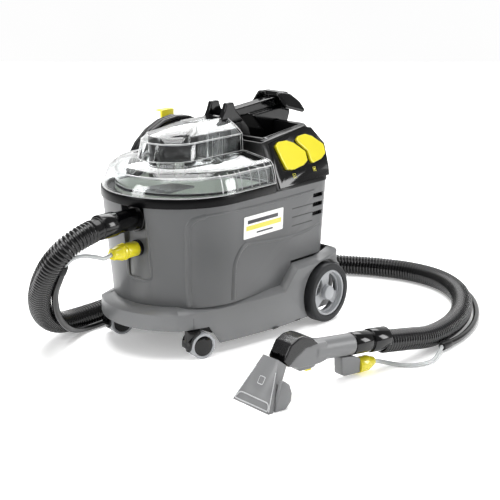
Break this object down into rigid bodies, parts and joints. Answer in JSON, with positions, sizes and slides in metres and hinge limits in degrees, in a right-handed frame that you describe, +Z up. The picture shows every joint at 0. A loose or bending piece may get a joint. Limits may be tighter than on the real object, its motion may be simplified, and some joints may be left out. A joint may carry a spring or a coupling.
{
  "type": "carpet cleaner machine",
  "caption": "Wheeled spray extraction carpet cleaner with lift-out waste tank, clear domed lid, suction hose, spray line and clear-mouthed hand tool.",
  "frame": {"origin": "on the floor under the machine, in its mid plane, about half way between nose and rear", "axes": "+X to the rear (the wheels' end), +Y to the machine's far side (its left when looking towards the hose), +Z up"},
  "size_m": [0.9418, 0.6893, 0.4409],
  "materials": {
    "grey_plastic": "fine moulded texture",
    "black_plastic": "satin",
    "gloss_black": "glossy",
    "label_white": "printed film",
    "tank_white": "translucent natural",
    "clear_plastic": "clear moulding",
    "black_rubber": "matt",
    "yellow_gloss": "glossy",
    "light_grey": "satin",
    "tyre_grey": "matt",
    "hose_black": "satin",
    "aluminium": "cast",
    "steel": "turned",
    "brass": "turned"
  },
  "bodies": {
    "machine": {"skirt": "grey_plastic", "base_plate": "black_plastic", "main_housing": "grey_plastic", "rim_gasket": "gloss_black", "vent_insert": "black_plastic", "label_plate": "label_white", "motor_cover": "black_plastic", "switch_panel": "gloss_black", "carry_handle": "gloss_black", "rear_saddle": "gloss_black", "lower_hook": "black_plastic", "fresh_tank": "tank_white", "pump": "black_plastic", "pump_line": "tank_white", "suction_motor": "black_plastic", "inlet_socket": "gloss_black", "water_socket": "gloss_black", "axle": "steel", "cable_gland": "black_plastic", "mains_lead": "black_rubber", "lead_coil": "black_rubber", "lead_tail": "black_rubber", "mains_plug": "black_plastic", "machine_cuff": "gloss_black", "suction_hose": "hose_black", "tool_cuff": "gloss_black", "spray_sheath": "hose_black", "machine_tube": "clear_plastic", "tool_tube": "clear_plastic", "machine_coupler": "yellow_gloss", "tool_coupler": "yellow_gloss", "tool_grip": "grey_plastic", "tool_cover": "gloss_black", "tool_nozzle": "clear_plastic", "nozzle_cheeks": "grey_plastic", "spray_jet": "brass", "tool_valve": "grey_plastic", "cover_screws": "steel"},
    "waste_tank": {"waste_tank": "tank_white", "inlet_duct": "grey_plastic"},
    "tank_lid": {"tank_lid": "clear_plastic", "lid_seal": "black_rubber", "float_cage": "gloss_black", "front_clip": "gloss_black"},
    "float": {"float_ball": "tank_white"},
    "spray_switch": {"spray_switch": "yellow_gloss"},
    "suction_switch": {"suction_switch": "yellow_gloss"},
    "lead_hook": {"lead_hook": "yellow_gloss"},
    "fan": {"fan_rotor": "aluminium"},
    "near_wheel": {"near_rim": "light_grey", "near_tyre": "tyre_grey", "near_cap": "light_grey"},
    "far_wheel": {"far_rim": "light_grey", "far_tyre": "tyre_grey", "far_cap": "light_grey"},
    "near_caster": {"near_caster_fork": "gloss_black"},
    "far_caster": {"far_caster_fork": "gloss_black"},
    "near_rollers": {"near_caster_wheels": "light_grey"},
    "far_rollers": {"far_caster_wheels": "light_grey"},
    "trigger": {"tool_trigger": "yellow_gloss"}
  },
  "joints": [
    {"name": "tank_lift", "type": "slide", "parent": "machine", "child": "waste_tank", "axis": [0, 0, 1], "range_m": [0, 0.2]},
    {"name": "lid_lift", "type": "slide", "parent": "waste_tank", "child": "tank_lid", "axis": [0, 0, 1], "range_m": [0, 0.12]},
    {"name": "float_rise", "type": "slide", "parent": "tank_lid", "child": "float", "axis": [0, 0, 1], "range_m": [0, 0.025]},
    {"name": "spray_press", "type": "slide", "parent": "machine", "child": "spray_switch", "axis": [0, 0.9272, -0.3746], "range_m": [0, 0.003], "stiffness_N_per_m": 400},
    {"name": "suction_press", "type": "slide", "parent": "machine", "child": "suction_switch", "axis": [0, 0.9272, -0.3746], "range_m": [0, 0.003], "stiffness_N_per_m": 400},
    {"name": "hook_turn", "type": "hinge", "parent": "machine", "child": "lead_hook", "pos_m": [0.084, 0.17, 0.346], "axis": [0, 1, 0], "range_deg": [0, 180]},
    {"name": "fan_spin", "type": "hinge", "parent": "machine", "child": "fan", "pos_m": [0.118, 0.02, 0.25], "axis": [0, 0, 1], "continuous": true},
    {"name": "near_roll", "type": "hinge", "parent": "machine", "child": "near_wheel", "pos_m": [0.175, -0.15, 0.059], "axis": [0, 1, 0], "continuous": true},
    {"name": "far_roll", "type": "hinge", "parent": "machine", "child": "far_wheel", "pos_m": [0.175, 0.15, 0.059], "axis": [0, 1, 0], "continuous": true},
    {"name": "near_swivel", "type": "hinge", "parent": "machine", "child": "near_caster", "pos_m": [-0.157, -0.1055, 0.05], "axis": [0, 0, 1], "continuous": true},
    {"name": "far_swivel", "type": "hinge", "parent": "machine", "child": "far_caster", "pos_m": [-0.157, 0.1055, 0.05], "axis": [0, 0, 1], "continuous": true},
    {"name": "near_caster_roll", "type": "hinge", "parent": "near_caster", "child": "near_rollers", "pos_m": [-0.14266, -0.10989, 0.024], "axis": [0.2924, 0.9563, 0], "continuous": true},
    {"name": "far_caster_roll", "type": "hinge", "parent": "far_caster", "child": "far_rollers", "pos_m": [-0.14266, 0.10111, 0.024], "axis": [0.2924, 0.9563, 0], "continuous": true},
    {"name": "trigger_pull", "type": "hinge", "parent": "machine", "child": "trigger", "pos_m": [-0.15958, -0.36006, 0.057], "axis": [0.1736, 0.9848, 0], "range_deg": [-8, 0], "stiffness_Nm_per_rad": 0.4}
  ]
}
